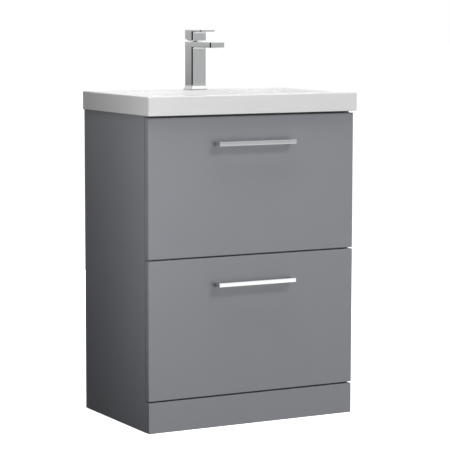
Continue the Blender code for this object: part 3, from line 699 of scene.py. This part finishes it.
def tap_foot():
    """A square foot that sweeps up into the column in a hollow curve."""
    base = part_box("tap_body")[0].z
    top = base + FOOT_EDGE
    rings = [(FOOT_HALF - FOOT_ROUND, base), (FOOT_HALF, base + FOOT_ROUND),
             (FOOT_HALF, top - FOOT_ROUND)]
    for step in range(13):
        angle = math.radians(90 * step / 12)
        rings.append((FOOT_HALF - (FOOT_HALF - TAP_HALF) * math.sin(angle),
                      top + FOOT_SWEEP * (1 - math.cos(angle))))
    rings.append((TAP_HALF - 0.001, top + FOOT_SWEEP + 0.002))
    points = [rounded_ring(size, TAP_DEPTH - size, TAP_DEPTH + size, FOOT_CORNER, height, 4)
              for size, height in rings]
    return loft("foot", points, "chrome")


def drilling(name, x, depth, z, radius, segments=48):
    """An upright bar that drills a hole."""
    return rod(name, (x, y_at(depth), z[0]), (x, y_at(depth), z[1]), radius, "chrome", None,
               segments)


def tap_body():
    """Column, spout and foot as one polished casting."""
    _, depth, z = spans("tap_body")
    body = tap_bar("tap_body_shaped", (TAP_BACK, TAP_FRONT), (DECK + 0.004, z[1]))
    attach(body, "root")
    join(body, tap_bar("spout", (TAP_BACK, depth[1]), (SPOUT_BOTTOM, z[1])),
         throat("spout_throat", SPOUT_BOTTOM, SPOUT_THROAT), tap_foot())
    past = 0.005
    bore = drilling("bore", 0, TAP_DEPTH, (CARTRIDGE_SEAT, z[1] + past), CARTRIDGE_BORE)
    outlet = drilling("outlet", 0, AERATOR_DEPTH, (SPOUT_BOTTOM - past, AERATOR_SEAT),
                      AERATOR_RADIUS)
    stud_hole = drilling("stud_hole", 0, STUD_DEPTH, (DECK - past, STUD_HOLE_TOP),
                         STUD_HOLE_RADIUS, 24)
    inlets = [drilling("inlet", x, TAP_DEPTH, (DECK - past, INLET_TOP), INLET_RADIUS, 24)
              for x in (-INLET_X, INLET_X)]
    cut(body, bore, outlet, stud_hole, *inlets)
    shade(body, math.radians(30))
    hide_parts("tap_body")


def tap_lever():
    """A square block over the body, with a flat plate that reaches forwards as the lever."""
    _, depth, z = spans("tap_lever")
    back, plate_under = depth[0], z[1] - PLATE_THICKNESS
    lever = tap_bar("tap_lever_shaped", (back, TAP_FRONT), z)
    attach(lever, "tap_handle")
    join(lever, tap_bar("plate", (back, depth[1]), (plate_under, z[1])),
         throat("plate_throat", plate_under, PLATE_THROAT))
    wedge_front = TAP_DEPTH - WEDGE_GAP
    wedge = [(back - 0.001, z[0] - 0.001), (wedge_front, z[0] - 0.001), (wedge_front, z[0]),
             (back, z[0] + WEDGE_RISE), (back - 0.001, z[0] + WEDGE_RISE)]
    cut(lever, prism("wedge", wedge, -0.05, 0.05, side_profile, "chrome"))
    recess = drilling("recess", 0, TAP_DEPTH, (z[0] - 0.005, z[0] + CARRIER_RECESS),
                      CARRIER_RADIUS)
    socket = block("socket", (-SOCKET_HALF, SOCKET_HALF),
                   (TAP_DEPTH - SOCKET_HALF, TAP_DEPTH + SOCKET_HALF), (z[0], SOCKET_TOP),
                   "chrome")
    behind = (0, y_at(back - 0.005), SCREW_HEIGHT)
    way = rod("way", behind, (*TAP_CENTRE, SCREW_HEIGHT), SCREW_WAY_RADIUS, "chrome", None, 24)
    seat = rod("seat", behind, (0, y_at(back + CAP_SEAT_DEPTH), SCREW_HEIGHT), CAP_SEAT_RADIUS,
               "chrome")
    cut(lever, recess, socket, way, seat)
    shade(lever, math.radians(30))
    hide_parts("tap_lever")


# Stage, lights and camera

FLOOR_HALF = 40.0
FLOOR_GLOW = 0.92


def floor():
    """A plain pale floor."""
    made, tree, shader = shader_material("pale_floor")
    place = object_coordinates(tree)
    vary(tree, shader, noise(tree, place, 2.0),
         ((0.88, 0.88, 0.88), (0.90, 0.90, 0.90)), (0.9, 0.95))
    shader.inputs["Emission Color"].default_value = (1, 1, 1, 1)
    shader.inputs["Emission Strength"].default_value = FLOOR_GLOW
    bm = bmesh.new()
    bmesh.ops.create_grid(bm, x_segments=8, y_segments=8, size=FLOOR_HALF)
    mesh = bpy.data.meshes.new("floor")
    bm.to_mesh(mesh)
    bm.free()
    mesh.materials.append(made)
    obj = bpy.data.objects.new("floor", mesh)
    obj.location.z = CAD_LOW.z - 0.0002
    obj.visible_diffuse = False
    obj.visible_glossy = False
    obj.visible_shadow = False
    bpy.context.collection.objects.link(obj)


def softbox(name, place, target, size, power):
    """A rectangular lamp that faces a target, and that polished faces don't mirror."""
    lamp = bpy.data.lights.new(name, "AREA")
    lamp.shape = "RECTANGLE"
    lamp.size, lamp.size_y = size
    lamp.energy = power
    obj = bpy.data.objects.new(name, lamp)
    obj.location = place
    obj.rotation_mode = "QUATERNION"
    obj.rotation_quaternion = (Vector(target) - Vector(place)).to_track_quat("-Z", "Y")
    obj.visible_glossy = False
    obj.visible_camera = False
    bpy.context.collection.objects.link(obj)


def math_node(tree, operation, first, second):
    node = add_node(tree, "ShaderNodeMath", operation=operation)
    for value, socket in zip((first, second), node.inputs):
        if isinstance(value, (int, float)):
            socket.default_value = value
        else:
            tree.links.new(value, socket)
    return node.outputs[0]


def ramp(tree, value, start, end):
    """A soft step: 0 at start and 1 at end."""
    node = add_node(tree, "ShaderNodeMapRange", {"From Min": start, "From Max": end},
                    interpolation_type="SMOOTHSTEP")
    tree.links.new(value, node.inputs["Value"])
    return node.outputs["Result"]


def facing(tree, level, azimuth):
    """How closely a level direction faces an azimuth, which counts from the front to the right."""
    angle = math.radians(azimuth)
    node = add_node(tree, "ShaderNodeVectorMath",
                    {1: (math.sin(angle), -math.cos(angle), 0)}, operation="DOT_PRODUCT")
    tree.links.new(level, node.inputs[0])
    return math_node(tree, "MAXIMUM", node.outputs["Value"], 0.0)


def lobe(tree, level, azimuth, strength):
    """Light from one side that fades out at right angles to it."""
    return math_node(tree, "MULTIPLY", math_node(tree, "POWER", facing(tree, level, azimuth), 2.0),
                     strength)


# Pale bands along the horizon: azimuth, the cosines where each starts and is full, strength.
HORIZON_BANDS = ((40, 0.88, 0.97, 0.54), (95, 0.50, 0.80, 0.30), (160, 0.80, 0.95, 0.90))

# The heights, as a direction's Z, between which the light above and below the horizon comes in.
RISE_ABOVE = (0.02, 0.15)
RISE_BELOW = (-0.06, -0.15)

# The light above and below the horizon: azimuth and strength.
LOBES_ABOVE = ((40, 1.35), (180, 0.9))
LOBES_BELOW = ((45, 1.45),)

# A pale strip low behind: azimuth, the cosines and heights where it comes in, and strength.
STRIP_AZIMUTH = -165
STRIP_SIDES = (0.88, 0.96)
STRIP_FOOT = (-0.09, 0.02)
STRIP_TOP = (0.25, -0.10)
STRIP_STRENGTH = 0.82


def level_direction(tree, direction):
    """A direction turned to the horizon."""
    flat = add_node(tree, "ShaderNodeVectorMath", {1: (1, 1, 0)}, operation="MULTIPLY")
    tree.links.new(direction, flat.inputs[0])
    level = add_node(tree, "ShaderNodeVectorMath", operation="NORMALIZE")
    tree.links.new(flat.outputs[0], level.inputs[0])
    return level.outputs[0]


def surroundings(tree):
    """The studio that polished faces mirror: its brightness in every direction of the world.

    Bright above at the front right and behind, and below at the front right. Dim along the
    horizon, but for a pale strip low behind, and dark at the left.
    """
    direction = add_node(tree, "ShaderNodeTexCoord").outputs["Generated"]
    parts = add_node(tree, "ShaderNodeSeparateXYZ")
    tree.links.new(direction, parts.inputs[0])
    level, height = level_direction(tree, direction), parts.outputs["Z"]
    above = ramp(tree, height, *RISE_ABOVE)
    below = ramp(tree, height, *RISE_BELOW)
    between = math_node(tree, "SUBTRACT", math_node(tree, "SUBTRACT", 1.0, above), below)
    horizon = 0.0
    for azimuth, edge, core, strength in HORIZON_BANDS:
        band = ramp(tree, facing(tree, level, azimuth), edge, core)
        horizon = math_node(tree, "ADD", horizon, math_node(tree, "MULTIPLY", band, strength))
    total = math_node(tree, "MULTIPLY", horizon, between)
    upright = math_node(tree, "MULTIPLY", ramp(tree, height, *STRIP_FOOT),
                        ramp(tree, height, *STRIP_TOP))
    strip = math_node(tree, "MULTIPLY",
                      ramp(tree, facing(tree, level, STRIP_AZIMUTH), *STRIP_SIDES), upright)
    total = math_node(tree, "ADD", total, math_node(tree, "MULTIPLY", strip, STRIP_STRENGTH))
    for share, lobes in ((above, LOBES_ABOVE), (below, LOBES_BELOW)):
        for azimuth, strength in lobes:
            lit = math_node(tree, "MULTIPLY", share, lobe(tree, level, azimuth, strength))
            total = math_node(tree, "ADD", total, lit)
    return total


# The share of the surroundings that is taken off where they light matt surfaces.
DIFFUSE_CUT = 0.60


def studio_world():
    """Plain white behind the object, and the soft surroundings for all other light."""
    world = bpy.data.worlds.new("studio")
    bpy.context.scene.world = world
    world.use_nodes = True
    tree = world.node_tree
    tree.nodes.clear()
    seen = add_node(tree, "ShaderNodeLightPath")
    softened = math_node(tree, "MULTIPLY", seen.outputs["Is Diffuse Ray"], -DIFFUSE_CUT)
    strength = math_node(tree, "MULTIPLY", surroundings(tree),
                         math_node(tree, "ADD", softened, 1.0))
    fill = add_node(tree, "ShaderNodeBackground", {"Color": (1, 1, 1, 1)})
    tree.links.new(strength, fill.inputs["Strength"])
    white = add_node(tree, "ShaderNodeBackground", {"Color": (1, 1, 1, 1), "Strength": 1.0})
    mix = add_node(tree, "ShaderNodeMixShader")
    out = add_node(tree, "ShaderNodeOutputWorld")
    tree.links.new(seen.outputs["Is Camera Ray"], mix.inputs["Fac"])
    tree.links.new(fill.outputs[0], mix.inputs[1])
    tree.links.new(white.outputs[0], mix.inputs[2])
    tree.links.new(mix.outputs[0], out.inputs["Surface"])


# Each lamp's place, target, size and power in watts.
LAMPS = {
    "key_box": ((1.1, -2.2, 2.5), (0, -0.2, 0.5), (0.4, 0.4), 21),
    "front_box": ((0.3, -1.2, 0.47), (0.05, 0, 0.47), (0.9, 0.4), 1.9),
    "near_top_box": ((0, -0.5, 2.1), (0, -0.22, 0.4), (1.4, 0.4), 9.5),
    "left_top_box": ((-0.75, -0.3, 2.2), (-0.2, 0, 0.7), (0.5, 0.9), 6.0),
    "left_front_box": ((-1.0, -1.0, 0.70), (-0.3, -0.1, 0.6), (0.4, 1.2), 1.8),
    "left_strip": ((-0.72, -0.34, 0.66), (-0.3, -0.24, 0.66), (0.15, 1.1), 1.5),
    "right_box": ((2.6, -0.5, 1.4), (0, 0, 0.6), (1.4, 1.4), 7),
    "back_top_box": ((0.5, 1.6, 2.4), (0, 0, 0.85), (2.0, 1.0), 6),
    "back_box": ((0.4, 2.8, 0.6), (0, 0, 0.45), (2.0, 1.6), 30),
}


def lights():
    studio_world()
    for name, settings in LAMPS.items():
        softbox(name, *settings)


CAMERA_AZIMUTH = math.radians(-28.363)
CAMERA_ELEVATION = math.radians(6.297)
CAMERA_ROLL = math.radians(0.074)
CAMERA_PLACE = (-2.4642, y_at(4.7953), 1.0747)
CAMERA_LENS = 158.32


def camera():
    """The view: from the front left, a little above the basin, with a long lens."""
    across = math.cos(CAMERA_ELEVATION)
    back = Vector((math.sin(CAMERA_AZIMUTH) * across, -math.cos(CAMERA_AZIMUTH) * across,
                   math.sin(CAMERA_ELEVATION)))
    right = Vector((math.cos(CAMERA_AZIMUTH), math.sin(CAMERA_AZIMUTH), 0))
    up = back.cross(right)
    turned_right = right * math.cos(CAMERA_ROLL) + up * math.sin(CAMERA_ROLL)
    turned_up = up * math.cos(CAMERA_ROLL) - right * math.sin(CAMERA_ROLL)
    data = bpy.data.cameras.new("camera")
    data.sensor_width = 36.0
    data.lens = CAMERA_LENS
    data.clip_end = 200.0
    obj = bpy.data.objects.new("camera", data)
    axes = Matrix((turned_right, turned_up, back)).transposed().to_4x4()
    obj.matrix_world = Matrix.Translation(CAMERA_PLACE) @ axes
    bpy.context.collection.objects.link(obj)
    bpy.context.scene.camera = obj


finish_cad_nodes()
cabinet_boards()
handle("upper")
handle("lower")
basin()
overflow_ring()
tap_body()
tap_lever()
floor()
lights()
camera()
bpy.context.scene.view_settings.view_transform = "Standard"
